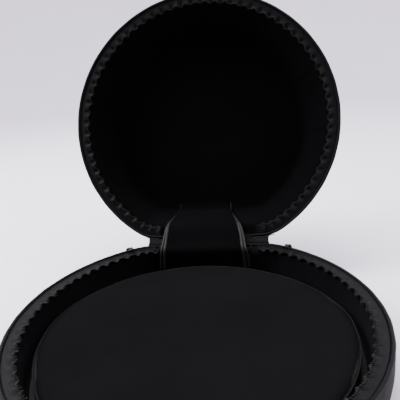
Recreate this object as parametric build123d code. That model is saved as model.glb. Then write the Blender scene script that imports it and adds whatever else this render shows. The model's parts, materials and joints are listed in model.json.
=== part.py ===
from build123d import *
import math
import os

# A round, padded, zip-around instrument case, standing open on its flat bottom.
# Millimetres. Origin at the centre of the bottom face, +Z up, hinge at +Y, front at -Y.

# Driving dimensions
rim_r = 200.0            # outline radius at the rim
back_r = 1000.0          # radius of the flattened back, where the hinge is
back_y = 180.0           # how far back the flattened side reaches
corner_r = 57.0          # rounding where the flattened back meets the circle
hinge_y = 183.4          # hinge axis, just behind the back of the rim
base_h = 64.0            # bottom face to rim plane
lid_h = 78.0             # rim plane to the lid's top face
open_deg = 110.0         # how far the lid stands open from closed
wall_t = 15.0            # wall thickness at the rim, cover and lining included
cloth_t = 1.2            # thickness of the outer cloth
gap = 0.2                # air between neighbouring layers

# Base
base_draft = 6.0         # how much the outer wall draws in from rim to bottom
floor_foam_t = 12.0
board_t = 2.5
pad_t = 25.0
pad_r = 173.0            # floor pad's outline: radius, and the rounder bow of its back
pad_back_r = 180.0
pad_back_y = 154.5
pad_corner_r = 120.0
base_lining_in = 20.0    # lining's inset where it meets the floor

# Lid
lid_draft = 26.0         # how much the outer wall draws in from rim to top
lid_depth = 60.0         # inside depth
lid_lining_in = 42.0     # lining's inset at the bottom of the bowl

# Rim: piping, zip tape and coil
piping_r = 2.2
piping_inset = 1.9
piping_drop = 3.0        # piping's centre below the rim plane
tape_t = 0.8
tape_outer = 4.4         # insets of the tape's two edges
tape_inner = 16.0
tape_drop = 3.9          # tape's underside below the rim plane
coil_w = 2.0
coil_t = 1.8
zip_end_x = 76.0         # half length of the rim behind, where there is no zip
end_tab = (11.0, 11.0, 1.0)
foam_drop = 10.5         # top of the wall foam, below the rim plane
rim_top = base_h - foam_drop

skin = 0.6               # wall cover's outer face, in from the outline
bottom_in = 2.6          # bottom cover's edge and its piping, in from the drafted wall
bottom_piping_in = 0.6

# Hinge cloth
panel_half = 52.0        # inner panel's half width at the hinge line
outer_half = 90.0
panel_t = 1.0
panel_fold = 2.0         # where the cloth bends, above and below the rim plane
outer_hem = 22.0         # how far the outer panel runs onto base and lid
welt_r = 2.0
welt_gap = 0.4
lower_clear = 2.6        # inner panel to lining at the floor pad, and at the rim
upper_clear = 5.4
clear_of_wall = 5.6      # the lid's wall is bowed and the panel straight, so its edges come nearest

# Sliders and pullers
slider_at = 35.0         # parked angle from +Y, each side
slider_r = 200.9         # inside face of the outer plate
slider_plate = 2.0
slider_w = 11.0
slider_h = 8.0
slider_low = 3.55        # how far the outer plate hangs below the rim plane, at its middle
neck_w = 5.0
neck_h = 0.9
inner_plate_h = 2.0
inner_plate_low = 0.55   # its middle, below the rim plane: the slider stays flat on the piping
pivot_out = 3.5          # puller's pivot outside the slider's plate
pivot_r = 0.9
pivot_clear = 0.1
puller_len = 24.0
puller_w = 7.0
puller_t = 1.5

# Carry handle
handle_z = 28.0
handle_y = -205.0        # swing axis, in front of the wall
handle_half = 58.0
handle_reach = 34.0
strap_w = 22.0
strap_t = 2.4
grip_half = 40.0
grip_r = 8.0
patch_half = 17.0        # sewn patch behind each lug
patch_t = 2.2
lug_w = 12.0
lug_r = 6.5
pin_r = 2.4
pin_clear = 0.08
pin_len = 14.0


def bowed_round(r, bow, bow_apex, turn):
    """A circle with a bowed back and round corners, from the radii of its three kinds of arc."""
    bow_y = bow_apex - bow
    corner_y = ((r - turn) ** 2 - (bow - turn) ** 2 + bow_y ** 2) / (2 * bow_y)
    corner_x = math.sqrt((r - turn) ** 2 - corner_y ** 2)
    corner = Vector(corner_x, corner_y)
    side = corner.normalized()
    rear = (corner - Vector(0, bow_y)).normalized()
    between = (side + rear).normalized()
    right = [corner + side * turn, corner + between * turn, corner + rear * turn]
    left = [Vector(-p.X, p.Y) for p in right]
    return make_face([
        ThreePointArc(left[0], Vector(0, -r), right[0]),
        ThreePointArc(*right),
        ThreePointArc(right[2], Vector(0, bow_apex), left[2]),
        ThreePointArc(*reversed(left)),
    ])


def outline(inset):
    """The case's outline moved in by inset."""
    return bowed_round(rim_r - inset, back_r - inset, back_y - inset, corner_r - inset)


def pad_slab(inset, low, high):
    """A flat panel of the floor pad's outline between two heights."""
    face = bowed_round(pad_r - inset, pad_back_r - inset, pad_back_y - inset, pad_corner_r - inset)
    return Pos(0, 0, low) * extrude(face, amount=high - low)


def slab(inset, low, high):
    """A flat panel of the outline between two heights."""
    return Pos(0, 0, low) * extrude(outline(inset), amount=high - low)


def frustum(low_inset, low, high_inset, high):
    """A solid whose outline changes evenly from one inset to another."""
    sections = [Pos(0, 0, low) * outline(low_inset), Pos(0, 0, high) * outline(high_inset)]
    return loft(Sketch() + sections, ruled=True)


def layer(outer, inner, low, high):
    """A wall between two drafted surfaces. Each is the pair of insets at its bottom and top."""
    solid = frustum(outer[0], low, outer[1], high)
    reach = 1.0
    slope = (inner[1] - inner[0]) / (high - low)
    hollow = frustum(inner[0] - slope * reach, low - reach, inner[1] + slope * reach, high + reach)
    return solid - hollow


def lip(inset, z, radius):
    """A cord of round section carried round the outline."""
    path = outline(inset).edges()
    wire = Pos(0, 0, z) * Wire(path)
    start = wire @ 0
    section = Plane(origin=start, z_dir=wire % 0) * Circle(radius)
    return sweep(section, path=wire)


def without_back(shape, half, depth=40.0):
    """Cuts away the stretch behind, where the hinge is."""
    z = shape.bounding_box().center().Z
    return shape - Pos(0, hinge_y, z) * Box(2 * half, 2 * depth, 40)


def sheet(points, thickness, half):
    """Cloth of one thickness along a line in the YZ plane, spread to both sides of X = 0."""
    line = Polyline(*[(y, z) for y, z in points])
    face = make_face(offset(line, amount=thickness / 2, side=Side.BOTH).edges())
    profile = Plane.YZ * face
    return extrude(profile, amount=half, both=True)


def base_wall_insets(z):
    """Inset of the outer wall of the base at a height."""
    return base_draft * (1 - z / base_h)


def opened(y, z):
    """A point of the closed lid, as (y, z), where it is with the lid open."""
    a = math.radians(-open_deg)
    dy, dz = y - hinge_y, z - base_h
    return (hinge_y + dy * math.cos(a) - dz * math.sin(a),
            base_h + dy * math.sin(a) + dz * math.cos(a))


open_lid = Pos(0, hinge_y, base_h) * Rot(-open_deg, 0, 0) * Pos(0, -hinge_y, -base_h)
parts = {}

# ---- base ----
cover_low = 3.0
cover_top = base_h - 5.6
foam_in = (base_lining_in - cloth_t - gap, wall_t - cloth_t - gap)
floor_z = cloth_t + gap
board_z = floor_z + floor_foam_t + gap
pad_z = board_z + board_t + gap


def cover_insets(low, high, out):
    return (base_wall_insets(low) + out, base_wall_insets(high) + out)


parts["base_bottom_cover"] = slab(base_draft + bottom_in, 0.0, cloth_t)
parts["base_bottom_piping"] = lip(base_draft + bottom_piping_in, cover_low - 0.3, piping_r)
parts["base_wall_cover"] = layer(
    cover_insets(cover_low + piping_r, cover_top, skin),
    cover_insets(cover_low + piping_r, cover_top, skin + cloth_t),
    cover_low + piping_r, cover_top)
parts["base_floor_foam"] = slab(base_lining_in + gap, floor_z, floor_z + floor_foam_t)
foam_out = skin + cloth_t + gap + 1.4
parts["base_wall_foam"] = layer(
    cover_insets(floor_z, rim_top, foam_out),
    (base_lining_in - cloth_t, foam_in[1]),
    floor_z, rim_top)
parts["base_stiffener_board"] = slab(base_lining_in + gap, board_z, board_z + board_t)
parts["base_wall_lining"] = layer(
    (base_lining_in - cloth_t + gap, foam_in[1] + gap),
    (base_lining_in + gap - 0.2, wall_t),
    board_z, rim_top)
parts["base_rim_piping"] = lip(piping_inset, base_h - piping_drop, piping_r)
tape = slab(tape_outer, base_h - tape_drop, base_h - tape_drop + tape_t)
tape -= slab(tape_inner, base_h - tape_drop - 1, base_h)
parts["base_zip_tape"] = without_back(tape, zip_end_x)
coil_z = base_h - tape_drop + tape_t + gap / 2
coil = slab(tape_inner, coil_z, coil_z + coil_t) - slab(tape_inner + coil_w, coil_z - 1, base_h)
parts["base_zip_coil"] = without_back(coil, zip_end_x)

# ---- floor pad ----
pad_block = pad_slab(0, pad_z, pad_z + pad_t)
pad_edges = pad_block.edges().group_by(Axis.Z)[-1]
pad_block = fillet(pad_edges, 7.0)
pad_foam = pad_slab(cloth_t, pad_z + cloth_t, pad_z + pad_t - cloth_t)
pad_foam = fillet(pad_foam.edges().group_by(Axis.Z)[-1], 6.0)
parts["floor_pad_cover"] = pad_block - pad_foam
parts["floor_pad_foam"] = pad_foam

# ---- lid, made closed and then swung open ----
lid_z = base_h


def lid_out(w, out):
    """Inset of the lid's outer wall at a height above the rim plane."""
    return lid_draft * w / lid_h + out


def lid_layer(outer, inner, low, high):
    """A layer of the lid's wall between two heights above the rim plane."""
    return layer(outer, inner, lid_z + low, lid_z + high)


lid_low = 5.6
lid_high = lid_h - cloth_t - 2 * piping_r
closed = {}
closed["lid_wall_cover"] = lid_layer(
    (lid_out(lid_low, skin), lid_out(lid_high, skin)),
    (lid_out(lid_low, skin + cloth_t), lid_out(lid_high, skin + cloth_t)),
    lid_low, lid_high)
foam_low = foam_drop
foam_high = lid_depth + cloth_t


def bowl_in(w):
    """Inset of the lid's lining at a height above the rim plane."""
    return wall_t + (lid_lining_in - wall_t) * w / lid_depth


lining_back = cloth_t + 0.4
closed["lid_wall_foam"] = lid_layer(
    (lid_out(foam_low, foam_out), lid_out(foam_high, foam_out)),
    (bowl_in(foam_low) - lining_back, bowl_in(foam_high) - lining_back),
    foam_low, foam_high)
closed["lid_wall_lining"] = lid_layer(
    (bowl_in(foam_low) - cloth_t, bowl_in(lid_depth) - cloth_t),
    (bowl_in(foam_low), bowl_in(lid_depth)),
    foam_low, lid_depth)
closed["lid_top_lining"] = slab(lid_lining_in - cloth_t + gap, lid_z + lid_depth + gap,
                                lid_z + lid_depth + gap + cloth_t)
top_low = lid_depth + cloth_t + 2 * gap
closed["lid_top_foam"] = slab(lid_draft + 2.4, lid_z + top_low + gap, lid_z + lid_h - cloth_t - gap)
closed["lid_top_cover"] = slab(lid_draft + 2.2, lid_z + lid_h - cloth_t, lid_z + lid_h)
closed["lid_top_piping"] = lip(lid_draft - 0.4, lid_z + lid_h - cloth_t - piping_r + 0.3, piping_r)
closed["lid_rim_piping"] = lip(piping_inset, lid_z + piping_drop, piping_r)
lid_tape_z = lid_z + tape_drop - tape_t
lid_tape = slab(tape_outer, lid_tape_z, lid_tape_z + tape_t)
lid_tape -= slab(tape_inner, lid_z, lid_tape_z + 2)
closed["lid_zip_tape"] = without_back(lid_tape, zip_end_x)
lid_coil_z = lid_tape_z - gap / 2
lid_coil = slab(tape_inner, lid_coil_z - coil_t, lid_coil_z)
lid_coil -= slab(tape_inner + coil_w, lid_z, lid_coil_z + 1)
closed["lid_zip_coil"] = without_back(lid_coil, zip_end_x)
for name, shape in closed.items():
    parts[name] = open_lid * shape

# ---- hinge cloth, as it lies with the lid open ----
outer_y = back_y + 1.0
outer_line = [
    (outer_y, base_h - outer_hem),
    (outer_y + 0.6, base_h - panel_fold),
    opened(outer_y + 0.6, base_h + panel_fold),
    opened(outer_y, base_h + outer_hem),
]
parts["hinge_outer_panel"] = sheet(outer_line, panel_t, outer_half)
inner_top = lid_depth - 3.0
inner_line = [
    (back_y - base_lining_in - lower_clear, pad_z + pad_t - 8.0),
    (back_y - wall_t - upper_clear, base_h - panel_fold),
    opened(back_y - bowl_in(panel_fold) - clear_of_wall, base_h + panel_fold),
    opened(back_y - bowl_in(inner_top) - clear_of_wall, base_h + inner_top),
]
parts["hinge_inner_panel"] = sheet(inner_line, panel_t, panel_half)
for side, sign in (("left", -1), ("right", 1)):
    line = [Vector(sign * (panel_half + welt_r + welt_gap), y, z) for y, z in inner_line]
    path = FilletPolyline(*line, radius=9.0)
    section = Plane(origin=path @ 0, z_dir=path % 0) * Circle(welt_r)
    parts["hinge_welt_" + side] = sweep(section, path=path)

# ---- zip ends: a folded cloth tab over each end of the zip ----
for side, sign in (("left", -1), ("right", 1)):
    place = Pos(sign * (zip_end_x - end_tab[0] / 2 - 2.5), back_y - 17.5, base_h - tape_drop + tape_t / 2)
    parts["zip_end_tab_" + side] = place * Rot(0, 0, -sign * 14) * Box(*end_tab)


def slider_shape():
    """Slider body: X runs outwards, Y along the zip, Z up, rim plane at Z = 0."""
    plate = Pos(slider_r + slider_plate / 2, 0, -slider_low) * Box(slider_plate, slider_w, slider_h)
    plate = fillet(plate.edges().filter_by(Axis.X), 2.5)
    inner_r = piping_inset + piping_r
    inner_face = rim_r - inner_r - 0.6
    neck = Pos((slider_r + inner_face) / 2, 0, 0) * Box(slider_r - inner_face + 0.4, neck_w, neck_h)
    back = Pos(inner_face - slider_plate / 2, 0, -inner_plate_low)
    back *= Box(slider_plate, slider_w, inner_plate_h)
    front = slider_r + slider_plate
    bail = Pos(front + pivot_out / 2, 0, -slider_low) * Box(pivot_out + 3.4, 2.6, 6.0)
    bail = fillet(bail.edges().filter_by(Axis.Y).sort_by(Axis.X)[-2:], 1.6)
    hole = Pos(front + pivot_out - 1.0, 0, -slider_low) * Rot(90, 0, 0) * Cylinder(pivot_r + pivot_clear, 6)
    return plate + neck + back + bail - hole


def puller_shape():
    """Puller hanging down, its pivot at Z = 0: crossbar through the bail, two arms and a flat tab."""
    x = slider_r + slider_plate + pivot_out - 1.0
    bar = Pos(x, 0, 0) * Rot(90, 0, 0) * Cylinder(pivot_r, puller_w)
    arm_z = -4.4
    arms = Part()
    for sign in (-1, 1):
        arms += Pos(x, sign * (puller_w / 2 - 0.8), arm_z / 2) * Box(puller_t, 1.6, -arm_z)
    tab_low = -puller_len
    tab = Pos(x, 0, (arm_z + tab_low) / 2) * Box(puller_t, puller_w, arm_z - tab_low)
    tab = fillet(tab.edges().filter_by(Axis.X).group_by(Axis.Z)[0], 3.0)
    return bar + arms + tab


for side, sign in (("left", -1), ("right", 1)):
    place = Pos(0, 0, base_h) * Rot(0, 0, 90 - sign * slider_at)
    parts["slider_" + side] = place * slider_shape()
    parts["puller_" + side] = place * Pos(0, 0, -slider_low) * puller_shape()

# ---- carry handle ----
def on_wall(half_x, half_z, out, depth):
    """A block on the front wall at the handle, from out to out + depth in front of the wall."""
    shape = Circle(rim_r + out + depth) - Circle(rim_r + out)
    ring = Pos(0, 0, handle_z - half_z) * extrude(shape, amount=2 * half_z)
    return ring, half_x


patch_skin = 0.3
for side, sign in (("left", -1), ("right", 1)):
    ring, half_x = on_wall(patch_half, patch_half, patch_skin, patch_t)
    patch_x = sign * (handle_half + lug_w / 2)
    window = Pos(patch_x, -rim_r, handle_z) * Box(2 * half_x, 60.0, 2 * half_x)
    parts["handle_patch_" + side] = ring & window
    lug = Pos(patch_x, handle_y / 2 - 90.0, handle_z) * Box(lug_w, 44.0, 2 * lug_r)
    lug += Pos(patch_x, handle_y, handle_z) * Rot(0, 90, 0) * Cylinder(lug_r, lug_w)
    front_cut = Pos(patch_x, handle_y + 30.0, handle_z) * Box(lug_w, 60.0, 2 * lug_r)
    lug = (lug & (front_cut + Pos(patch_x, handle_y, handle_z) * Rot(0, 90, 0) * Cylinder(lug_r, lug_w)))
    lug -= Pos(0, 0, handle_z) * Cylinder(rim_r + patch_skin + patch_t + 0.05, 4 * lug_r)
    lug -= Pos(patch_x, handle_y, handle_z) * Rot(0, 90, 0) * Cylinder(pin_r + pin_clear, 2 * lug_w)
    parts["handle_lug_" + side] = lug
    pin_x = sign * (handle_half - 4.0 + pin_len / 2)
    parts["handle_pin_" + side] = Pos(pin_x, handle_y, handle_z) * Rot(0, 90, 0) * Cylinder(pin_r, pin_len)

reach = handle_y - handle_reach
end_x = handle_half - 1.5
bow = [(end_x, handle_y), (end_x - 9.0, reach + 9.0), (grip_half - 8.0, reach)]
bow = [(-x, y) for x, y in bow] + bow[::-1]
strap_line = FilletPolyline(*bow, radius=14.0)
strap_face = make_face(offset(strap_line, amount=strap_t / 2, side=Side.BOTH).edges())
strap = Pos(0, 0, handle_z - strap_w / 2) * extrude(strap_face, amount=strap_w)
grip = Pos(0, reach, handle_z) * Rot(0, 90, 0) * Cylinder(grip_r, 2 * grip_half - 24.0)
for side, sign in (("left", -1), ("right", 1)):
    strap += Pos(sign * (end_x - 4.0), handle_y, handle_z) * Rot(0, 90, 0) * Cylinder(2 * pin_r, 8.0)
strap -= grip + parts["handle_pin_left"] + parts["handle_pin_right"]
parts["handle_webbing"] = strap
parts["handle_grip"] = grip

os.makedirs("parts", exist_ok=True)
for name, shape in parts.items():
    export_step(shape, "parts/" + name + ".step")
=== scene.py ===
import json
import math

import bpy
import numpy as np
from mathutils import Matrix, Vector


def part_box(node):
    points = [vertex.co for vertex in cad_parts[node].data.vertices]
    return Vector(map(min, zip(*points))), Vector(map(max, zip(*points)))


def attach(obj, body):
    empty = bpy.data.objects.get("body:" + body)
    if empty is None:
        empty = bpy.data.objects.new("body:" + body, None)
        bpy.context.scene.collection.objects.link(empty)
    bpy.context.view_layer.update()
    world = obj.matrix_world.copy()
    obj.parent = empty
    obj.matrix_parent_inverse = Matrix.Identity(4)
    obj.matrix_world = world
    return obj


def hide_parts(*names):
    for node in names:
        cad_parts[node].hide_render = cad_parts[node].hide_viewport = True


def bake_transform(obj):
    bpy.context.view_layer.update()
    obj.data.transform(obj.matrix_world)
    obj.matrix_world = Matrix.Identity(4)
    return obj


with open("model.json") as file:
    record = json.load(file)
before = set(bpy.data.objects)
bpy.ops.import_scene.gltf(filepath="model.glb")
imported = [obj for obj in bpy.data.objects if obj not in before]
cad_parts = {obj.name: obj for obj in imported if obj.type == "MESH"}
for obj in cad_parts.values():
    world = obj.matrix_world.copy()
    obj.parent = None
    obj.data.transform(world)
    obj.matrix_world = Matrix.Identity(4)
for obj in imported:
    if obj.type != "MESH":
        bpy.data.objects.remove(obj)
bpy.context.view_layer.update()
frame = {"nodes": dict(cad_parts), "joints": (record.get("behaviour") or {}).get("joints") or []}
mm = 0.001


def jointNamed(name):
    return next(j for j in frame["joints"] if j["name"] == name)


hinge = jointNamed("lid_hinge")
hingeY, rimZ = hinge["pos_m"][1], hinge["pos_m"][2]
openAngle = -math.radians(hinge["range_deg"][0])

case = dict(rim=200 * mm, backRadius=1000 * mm, backY=180 * mm, corner=57 * mm,
            baseHeight=rimZ, baseDraft=6 * mm, lidHeight=78 * mm, lidDraft=26 * mm, lidDepth=60 * mm,
            middleY=-4 * mm)
padOutline = dict(circle=173 * mm, bow=180 * mm, apex=154.5 * mm, corner=120 * mm)


def roundPlan(circle, bow, apex, corner):
    # A circle with a bowed back and two rounded corners. The corner arc's centre is the corner radius
    # inside the circle and inside the bow at once, which gives its place from the two distances.
    bowY = apex - bow
    a, b = circle - corner, bow - corner
    y = (a * a - b * b + bowY * bowY) / (2 * bowY)
    x = math.sqrt(a * a - y * y)
    side, back = math.atan2(x, y), math.atan2(x, y - bowY)
    arcs = (bow * back, corner * (side - back), circle * (math.pi - side))
    return dict(radii=(bow, corner, circle), bowY=bowY, x=x, y=y, side=side, back=back, arcs=arcs,
                half=sum(arcs), whole=2 * sum(arcs))


casePlan = roundPlan(case["rim"], case["backRadius"], case["backY"], case["corner"])
padPlan = roundPlan(**padOutline)
halfRound, wholeRound = casePlan["half"], casePlan["whole"]


def along(s, plan=casePlan):
    # Point and inward normal at arc length s, from the middle of the back towards +X; the other half mirrors.
    s = np.mod(np.asarray(s, float), plan["whole"])
    flip = np.where(s > plan["half"], -1.0, 1.0)
    h = np.where(s > plan["half"], plan["whole"] - s, s)
    bow, corner, circle = plan["radii"]
    back, turned = plan["arcs"][0], plan["arcs"][0] + plan["arcs"][1]
    onBack, onCorner = h < back, (h >= back) & (h < turned)
    turn = np.where(onBack, h / bow, np.where(onCorner, plan["back"] + (h - back) / corner,
                                              plan["side"] + (h - turned) / circle))
    radius = np.where(onBack, bow, np.where(onCorner, corner, circle))
    cx = np.where(onCorner, plan["x"], 0.0)
    cy = np.where(onBack, plan["bowY"], np.where(onCorner, plan["y"], 0.0))
    out = np.stack([flip * np.sin(turn), np.cos(turn)], -1)
    point = np.stack([flip * cx, cy], -1) + out * radius[..., None]
    return point, -out


def roundGrid(s, inset, z, plan=casePlan):
    # Grid of points carried round a plan; inset and z are arrays (around, across).
    point, inward = along(s, plan)
    inset, z, _ = np.broadcast_arrays(np.atleast_2d(inset), np.atleast_2d(z), point[:, :1])
    xy = point[:, None, :] + inward[:, None, :] * inset[..., None]
    return np.concatenate([xy, z[..., None]], -1)


def waves(x, period, seed, terms=5):
    # Smooth random waves in -1..1: a few sines of nearby periods and random phase.
    r = np.random.default_rng(seed)
    x = np.asarray(x, float)
    total = 0.0
    for _ in range(terms):
        length, start = period * r.uniform(0.6, 1.7), r.uniform(0, 6.28)
        total = total + np.sin(2 * math.pi * x / length + start)
    return total / terms


def roundWaves(s, count, seed, terms=5):
    # As waves, but closed round the outline: whole numbers of waves near count.
    r = np.random.default_rng(seed)
    a = 2 * math.pi * np.asarray(s, float) / wholeRound
    total = 0.0
    for _ in range(terms):
        number, start = max(1, round(count * r.uniform(0.6, 1.6))), r.uniform(0, 6.28)
        total = total + np.sin(number * a + start)
    return total / terms


def swingOpen(p):
    # Turns points of the closed lid about the hinge line to where the open lid stands.
    p = np.array(p, float)
    y, z = p[..., 1] - hingeY, p[..., 2] - rimZ
    c, s = math.cos(-openAngle), math.sin(-openAngle)
    p[..., 1], p[..., 2] = hingeY + y * c - z * s, rimZ + y * s + z * c
    return p


def makeMesh(name, verts, faces, uv=None):
    # A smooth-shaded piece from points and faces, with a UV in metres for each point.
    mesh = bpy.data.meshes.new(name)
    mesh.from_pydata(verts.tolist(), [], faces)
    mesh.shade_smooth()
    if uv is not None:
        layer = mesh.uv_layers.new(name="UVMap")
        index = np.empty(len(mesh.loops), np.int32)
        mesh.loops.foreach_get("vertex_index", index)
        layer.data.foreach_set("uv", np.asarray(uv, np.float32)[index].ravel())
    mesh.validate()
    obj = bpy.data.objects.new(name, mesh)
    bpy.context.scene.collection.objects.link(obj)
    return obj


def gridFaces(n, m, closeN, closeM, flip=False):
    # Four-sided faces of a grid whose point (i, j) is number i * m + j; a closed direction wraps round.
    i = np.arange(n if closeN else n - 1)[:, None]
    j = np.arange(m if closeM else m - 1)[None, :]
    a, b = i * m + j, i * m + (j + 1) % m
    c, d = ((i + 1) % n) * m + (j + 1) % m, ((i + 1) % n) * m + j
    quads = np.stack([a, b, c, d] if not flip else [d, c, b, a], -1).reshape(-1, 4)
    return quads.tolist()


def gridPiece(name, grid, closeN=False, closeM=False, capN=False, flip=False, uv=None):
    # A surface from a grid of points; capN closes the two ends of a tube-like strip.
    n, m = grid.shape[:2]
    faces = gridFaces(n, m, closeN, closeM, flip)
    if capN:
        first, last = list(range(m)), list(range((n - 1) * m, n * m))
        faces += [first, last[::-1]] if flip else [first[::-1], last]
    if uv is None:
        du = np.linalg.norm(np.diff(grid, axis=0), axis=-1).mean(1)
        dv = np.linalg.norm(np.diff(grid, axis=1), axis=-1).mean(0)
        u, v = np.concatenate([[0], du.cumsum()]), np.concatenate([[0], dv.cumsum()])
        uv = np.stack(np.meshgrid(u, v, indexing="ij"), -1)
    return makeMesh(name, grid.reshape(-1, 3), faces, uv.reshape(-1, 2))


def discPiece(name, edge, middle, crown, rings, flip=False):
    # A disc from its edge loop to a middle point, raised by crown * (1 - f^16), with f from 0 at the middle
    # to 1 at the edge: nearly flat inside, and pulled down beside its seam.
    f = np.linspace(0, 1, rings)[1:]
    grid = middle + (edge[None] - middle) * f[:, None, None]
    grid[..., 2] += (crown * (1 - f ** 16))[:, None]
    centre = middle + np.array([0, 0, crown])
    k = edge.shape[0]
    verts = np.concatenate([centre[None], grid.reshape(-1, 3)])
    j = np.arange(k)
    fan = np.stack([np.zeros(k, int), 1 + j, 1 + (j + 1) % k], -1)
    quads = np.array(gridFaces(len(f), k, False, True)) + 1
    if flip:
        fan = fan[:, ::-1]
    else:
        quads = quads[:, ::-1]
    return makeMesh(name, verts, fan.tolist() + quads.tolist(), verts[:, :2])


def frames(path, up):
    # Tangent, side and upward vectors along a path of points.
    t = np.gradient(path, axis=0)
    t /= np.linalg.norm(t, axis=1, keepdims=True)
    side = np.cross(t, np.broadcast_to(up, t.shape))
    side /= np.linalg.norm(side, axis=1, keepdims=True)
    return t, side, np.cross(side, t)


def tubePiece(name, path, radius, sides=10, closed=False, up=(0, 0, 1.0), wobble=0.0):
    # A round tube along a path: a circle in the plane across the path at each point, its radius times
    # 1 + wobble.
    if closed:
        ext = np.concatenate([path[-2:], path, path[:2]])
        _, side, lift = (v[2:-2] for v in frames(ext, up))
    else:
        _, side, lift = frames(path, up)
    a = np.linspace(0, 2 * math.pi, sides, endpoint=False)
    ring = side[:, None] * np.cos(a)[None, :, None] + lift[:, None] * np.sin(a)[None, :, None]
    grid = path[:, None] + ring * np.reshape(radius * (1 + wobble), (-1, 1, 1))
    return gridPiece(name, grid, closed, True, not closed, flip=True)


def swingPiece(piece):
    # Turns a made piece's points about the hinge line, as swingOpen does.
    co = np.empty(len(piece.data.vertices) * 3)
    piece.data.vertices.foreach_get("co", co)
    piece.data.vertices.foreach_set("co", swingOpen(co.reshape(-1, 3)).ravel())
    return piece


def joinPieces(name, pieces):
    bpy.ops.object.select_all(action="DESELECT")
    for piece in pieces:
        piece.select_set(True)
    bpy.context.view_layer.objects.active = pieces[0]
    bpy.ops.object.join()
    pieces[0].name = name
    pieces[0].data.name = name
    return pieces[0]


def stitches(name, start, ahead, lift, length, width):
    # Many short stitches at once: each a small six-sided capsule along ahead, standing on lift.
    side = np.cross(ahead, lift)
    ends = np.array([-0.5, -0.32, 0.32, 0.5])
    thin = np.array([0.25, 1.0, 1.0, 0.25])
    a = np.arange(6) * math.pi / 3
    ring = side[:, None, None] * np.cos(a)[:, None] + lift[:, None, None] * np.sin(a)[:, None]
    spine = start[:, None, None] + ahead[:, None, None] * (ends * length)[:, None, None]
    verts = spine + ring * (thin * width / 2)[:, None, None]
    one = gridFaces(4, 6, False, True, flip=True) + [list(range(6)), list(range(18, 24))[::-1]]
    faces = [[v + 24 * k for v in face] for k in range(len(start)) for face in one]
    return makeMesh(name, verts.reshape(-1, 3), faces)


def thicken(piece, thickness, offset=1.0):
    mod = piece.modifiers.new("thickness", "SOLIDIFY")
    mod.thickness, mod.offset = thickness, offset
    return piece


class Wire:
    # A socket that can be used in sums; each operator adds its Math node.

    def __init__(self, tree, socket):
        self.tree, self.socket = tree, socket

    def math(self, operation, *values):
        node = self.tree.nodes.new("ShaderNodeMath")
        node.operation = operation
        for slot, value in zip(node.inputs, values):
            if isinstance(value, Wire):
                self.tree.links.new(value.socket, slot)
            else:
                slot.default_value = value
        return Wire(self.tree, node.outputs[0])

    def __add__(self, other):
        return self.math("ADD", self, other)

    def __sub__(self, other):
        return self.math("SUBTRACT", self, other)

    def __mul__(self, other):
        return self.math("MULTIPLY", self, other)

    def __rsub__(self, other):
        return self.math("SUBTRACT", other, self)

    __radd__, __rmul__ = __add__, __mul__

    def sine(self):
        return self.math("SINE", self)

    def absolute(self):
        return self.math("ABSOLUTE", self)

    def clamp(self, low, high):
        return self.math("MINIMUM", self.math("MAXIMUM", self, low), high)


class Finish:
    # A material whose nodes come from one method, with a Principled shader that holds its constants.

    def __init__(self, name, color, roughness, **constants):
        self.material = bpy.data.materials.new(name)
        self.material.use_nodes = True
        self.tree = self.material.node_tree
        self.shader = self.tree.nodes["Principled BSDF"]
        self.shader.inputs["Base Color"].default_value = (*color, 1)
        self.shader.inputs["Roughness"].default_value = roughness
        for key, value in constants.items():
            label = key.replace("_", " ")
            self.shader.inputs[label].default_value = value
        self.material.diffuse_color = (*color, 1)

    def node(self, kind, settings=None, values=None, output=0):
        node = self.tree.nodes.new(kind)
        for key, value in (settings or {}).items():
            if key == "stops":
                ramp = node.color_ramp
                while len(ramp.elements) < len(value):
                    ramp.elements.new(0.5)
                for element, (place, shade) in zip(ramp.elements, value):
                    element.position, element.color = place, (*shade, 1)
            else:
                setattr(node, key, value)
        for key, value in (values or {}).items():
            if isinstance(value, Wire):
                self.tree.links.new(value.socket, node.inputs[key])
            else:
                node.inputs[key].default_value = value
        return Wire(self.tree, node.outputs[output])

    def place(self):
        return self.node("ShaderNodeTexCoord", output="Object")

    def cloth(self):
        # The piece's own UV in metres, as two wires: along and across.
        both = self.node("ShaderNodeSeparateXYZ", values={0: self.node("ShaderNodeTexCoord", output="UV")})
        return both, Wire(self.tree, both.socket.node.outputs[1])

    def noise(self, scale, detail=3.0, where=None, roughness=0.5):
        return self.node("ShaderNodeTexNoise", values={"Vector": where or self.place(), "Scale": scale,
                                                       "Detail": detail, "Roughness": roughness})

    def put(self, socket, wire):
        self.tree.links.new(wire.socket, self.shader.inputs[socket])

    def shades(self, amount, dark, light):
        # Base colour from dark to light by a wire in 0..1.
        ramp = self.node("ShaderNodeValToRGB", {"stops": [(0.0, dark), (1.0, light)]}, {"Fac": amount})
        self.put("Base Color", ramp)

    def relief(self, height, depth, strength=1.0):
        self.put("Normal", self.node("ShaderNodeBump", values={"Height": height, "Distance": depth,
                                                               "Strength": strength}))


def weave(finish, pitch, slant=0.0):
    # Plain weave: crossed rounded threads, over and under like a checkerboard.
    u, v = finish.cloth()
    turn = 2 * math.pi / pitch
    a, b = (u + v * slant) * turn, (v - u * slant) * turn
    over = (a * 0.5).sine() * (b * 0.5).sine()
    return over * 0.5 + 0.5, (a.sine().absolute() + b.sine().absolute()) * 0.5


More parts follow.
